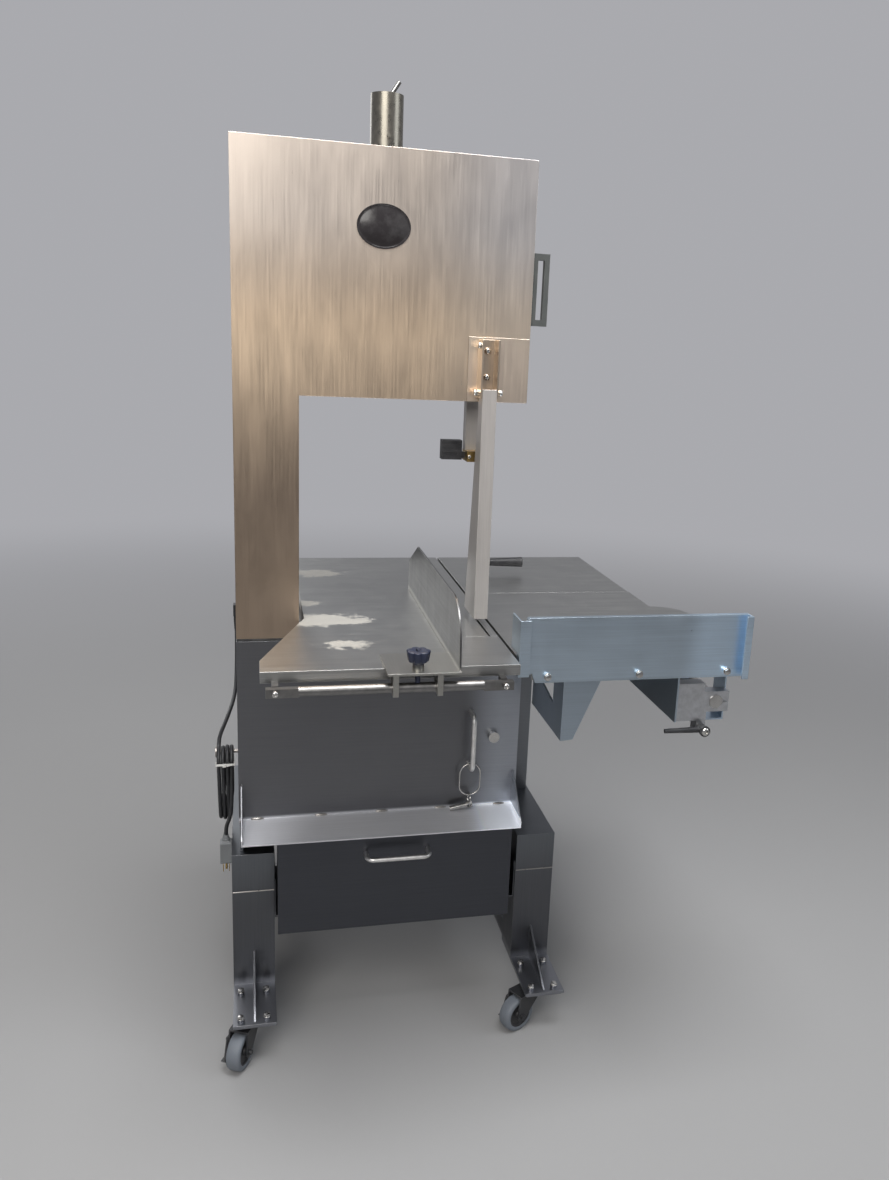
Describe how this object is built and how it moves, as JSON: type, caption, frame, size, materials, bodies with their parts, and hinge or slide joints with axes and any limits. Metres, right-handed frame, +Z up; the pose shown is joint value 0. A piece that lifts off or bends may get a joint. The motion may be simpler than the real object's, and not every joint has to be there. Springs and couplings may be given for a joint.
{
  "type": "bone saw",
  "caption": "Free-standing stainless band saw for meat and bone with a C-shaped frame, doors over its wheels, a blade guard, a gauge plate, a sliding table, a drawer and casters.",
  "frame": {"origin": "centre of the footprint at the floor, with the front casters' tread on the floor plane", "axes": "+Z up, +X to the operator's right towards the sliding table, +Y away from the operator"},
  "size_m": [0.9154, 0.975, 1.8216],
  "materials": {
    "stainless_warm": "satin brushed, vertical grain",
    "stainless": "satin brushed",
    "table_steel": "satin brushed, worn",
    "polished_steel": "polished",
    "spring_steel": "drawn wire",
    "blade_steel": "cold rolled",
    "aluminium": "machined",
    "cast_metal": "machined casting",
    "motor_grey": "painted",
    "brass": "machined",
    "black_plastic": "moulded",
    "slate_plastic": "moulded",
    "box_plastic": "moulded",
    "red_plastic": "moulded",
    "green_plastic": "moulded",
    "black_metal": "dark zinc or paint",
    "caster_rubber": "grey rubber tread",
    "belt_rubber": "moulded",
    "cord_rubber": "smooth sheath",
    "plug_plastic": "moulded"
  },
  "bodies": {
    "machine": {"body_frame": "stainless_warm", "motor_housing": "stainless", "base_frame": "stainless", "door_hinge_pins": "stainless", "start_box": "box_plastic", "tension_tube": "polished_steel", "tension_spring": "spring_steel", "saw_blade": "blade_steel", "bearing_housing": "cast_metal", "drive_belt": "belt_rubber", "motor": "motor_grey", "fixed_table": "table_steel", "table_insert": "table_steel", "gauge_rail": "stainless", "carriage_arm": "stainless", "caster_plates": "stainless", "rear_caster_forks": "black_metal", "cord_gland": "cord_rubber", "power_cord": "cord_rubber", "cord_hank": "cord_rubber", "cord_plug": "plug_plastic", "guard_bracket": "stainless"},
    "wheel_door": {"upper_door": "stainless_warm", "upper_door_handle": "stainless_warm"},
    "guard": {"blade_guard": "stainless"},
    "drive_door": {"lower_door": "stainless", "lanyard_pin": "polished_steel"},
    "lock_bolt": {"door_lock_bolt": "polished_steel"},
    "start_push": {"start_button": "green_plastic"},
    "stop_push": {"stop_button": "red_plastic"},
    "guide": {"guide_bar": "stainless", "guide_block": "brass", "scraper_block": "black_plastic"},
    "guide_knob": {"guide_lock_knob": "black_plastic"},
    "wheel_slide": {"tension_slide": "stainless"},
    "screw": {"tension_screw": "polished_steel"},
    "top_wheel": {"upper_wheel": "cast_metal"},
    "drive_wheel": {"lower_wheel": "cast_metal", "drive_shaft": "blade_steel"},
    "motor_drive": {"motor_pulley": "aluminium"},
    "gauge": {"gauge_plate": "stainless"},
    "gauge_clamp": {"gauge_knob": "slate_plastic"},
    "carriage": {"sliding_table": "table_steel", "table_extension": "table_steel", "apron": "stainless", "wing_bracket": "stainless", "side_beam": "stainless", "shaft_blocks": "aluminium", "carriage_shaft": "polished_steel"},
    "shaft_clamp": {"clamp_lever": "polished_steel"},
    "table_stop": {"stop_lever": "black_plastic"},
    "drawer": {"drawer": "stainless"},
    "wheel_left_front": {"caster_wheel_left_front": "caster_rubber"},
    "fork_left_front": {"caster_fork_left_front": "black_metal"},
    "brake_left_front": {"brake_lever_left_front": "black_metal"},
    "wheel_right_front": {"caster_wheel_right_front": "caster_rubber"},
    "fork_right_front": {"caster_fork_right_front": "black_metal"},
    "brake_right_front": {"brake_lever_right_front": "black_metal"},
    "wheel_left_rear": {"caster_wheel_left_rear": "caster_rubber"},
    "wheel_right_rear": {"caster_wheel_right_rear": "caster_rubber"}
  },
  "joints": [
    {"name": "upper_door_hinge", "type": "hinge", "parent": "machine", "child": "wheel_door", "pos_m": [-0.40125, -0.1545, 1.3], "axis": [0, 0, -1], "range_deg": [0, 95]},
    {"name": "guard_pivot", "type": "hinge", "parent": "machine", "child": "guard", "pos_m": [0.02125, -0.1905, 1.312], "axis": [-1, 0, 0], "range_deg": [0, 100]},
    {"name": "lower_door_hinge", "type": "hinge", "parent": "machine", "child": "drive_door", "pos_m": [-0.40125, -0.1545, 0.69], "axis": [0, 0, -1], "range_deg": [0, 95]},
    {"name": "lock_bolt_turn", "type": "hinge", "parent": "drive_door", "child": "lock_bolt", "pos_m": [0.06575, -0.1685, 0.662], "axis": [0, 1, 0], "range_deg": [0, 90]},
    {"name": "start_press", "type": "slide", "parent": "machine", "child": "start_push", "axis": [0, 1, 0], "range_m": [-0.003, 0], "stiffness_N_per_m": 400},
    {"name": "stop_press", "type": "slide", "parent": "machine", "child": "stop_push", "axis": [0, 1, 0], "range_m": [-0.003, 0], "stiffness_N_per_m": 400},
    {"name": "guide_height", "type": "slide", "parent": "machine", "child": "guide", "axis": [0, 0, 1], "range_m": [-0.2, 0.07]},
    {"name": "guide_knob_turn", "type": "hinge", "parent": "machine", "child": "guide_knob", "pos_m": [0.01175, -0.0185, 1.36], "axis": [0, 1, 0], "range_deg": [0, 180]},
    {"name": "tension_screw_turn", "type": "hinge", "parent": "machine", "child": "screw", "pos_m": [-0.14925, -0.0685, 1.75], "axis": [0, 0, 1], "range_deg": [0, 1080]},
    {"name": "tension_slide_travel", "type": "slide", "parent": "machine", "child": "wheel_slide", "axis": [0, 0, 1], "range_m": [-0.009, 0]},
    {"name": "top_wheel_spin", "type": "hinge", "parent": "wheel_slide", "child": "top_wheel", "pos_m": [-0.14925, -0.1285, 1.508], "axis": [0, 1, 0], "continuous": true},
    {"name": "drive_wheel_spin", "type": "hinge", "parent": "machine", "child": "drive_wheel", "pos_m": [-0.14925, -0.1285, 0.677], "axis": [0, 1, 0], "continuous": true},
    {"name": "motor_spin", "type": "hinge", "parent": "machine", "child": "motor_drive", "pos_m": [0.00975, 0.0605, 0.59], "axis": [0, 1, 0], "continuous": true},
    {"name": "gauge_travel", "type": "slide", "parent": "machine", "child": "gauge", "axis": [1, 0, 0], "range_m": [-0.13, 0.06]},
    {"name": "gauge_clamp_turn", "type": "hinge", "parent": "gauge", "child": "gauge_clamp", "pos_m": [-0.13425, -0.4685, 0.925], "axis": [0, 0, 1], "range_deg": [0, 720]},
    {"name": "carriage_travel", "type": "slide", "parent": "machine", "child": "carriage", "axis": [0, 1, 0], "range_m": [-0.18, 0.19]},
    {"name": "shaft_clamp_turn", "type": "hinge", "parent": "carriage", "child": "shaft_clamp", "pos_m": [0.39875, -0.3755, 0.744], "axis": [0, -1, 0], "range_deg": [0, 90]},
    {"name": "table_stop_turn", "type": "hinge", "parent": "carriage", "child": "table_stop", "pos_m": [0.09475, 0.1765, 0.915], "axis": [0, 0, 1], "range_deg": [0, 90]},
    {"name": "drawer_travel", "type": "slide", "parent": "machine", "child": "drawer", "axis": [0, 1, 0], "range_m": [-0.25, 0]},
    {"name": "swivel_left_front", "type": "hinge", "parent": "machine", "child": "fork_left_front", "pos_m": [-0.39675, -0.1505, 0.087], "axis": [0, 0, 1], "continuous": true},
    {"name": "roll_left_front", "type": "hinge", "parent": "fork_left_front", "child": "wheel_left_front", "pos_m": [-0.4145, -0.18857, 0.0375], "axis": [0.9063, -0.4226, 0], "continuous": true},
    {"name": "brake_left_front", "type": "hinge", "parent": "fork_left_front", "child": "brake_left_front", "pos_m": [-0.41577, -0.19128, 0.062], "axis": [-0.9063, 0.4226, 0], "range_deg": [0, 25]},
    {"name": "swivel_right_front", "type": "hinge", "parent": "machine", "child": "fork_right_front", "pos_m": [0.18275, -0.1505, 0.087], "axis": [0, 0, 1], "continuous": true},
    {"name": "roll_right_front", "type": "hinge", "parent": "fork_right_front", "child": "wheel_right_front", "pos_m": [0.14533, -0.16957, 0.0375], "axis": [0.454, -0.891, 0], "continuous": true},
    {"name": "brake_right_front", "type": "hinge", "parent": "fork_right_front", "child": "brake_right_front", "pos_m": [0.14266, -0.17093, 0.062], "axis": [-0.454, 0.891, 0], "range_deg": [0, 25]},
    {"name": "roll_left_rear", "type": "hinge", "parent": "machine", "child": "wheel_left_rear", "pos_m": [-0.38575, 0.3875, 0.0375], "axis": [1, 0, 0], "continuous": true},
    {"name": "roll_right_rear", "type": "hinge", "parent": "machine", "child": "wheel_right_rear", "pos_m": [0.19375, 0.3875, 0.0375], "axis": [1, 0, 0], "continuous": true}
  ],
  "couplings": [
    {"joint": "tension_screw_turn", "follows": "tension_slide_travel", "rad_per_m": -2094.4},
    {"joint": "top_wheel_spin", "follows": "drive_wheel_spin", "ratio": 1},
    {"joint": "motor_spin", "follows": "drive_wheel_spin", "ratio": 2.2857}
  ]
}
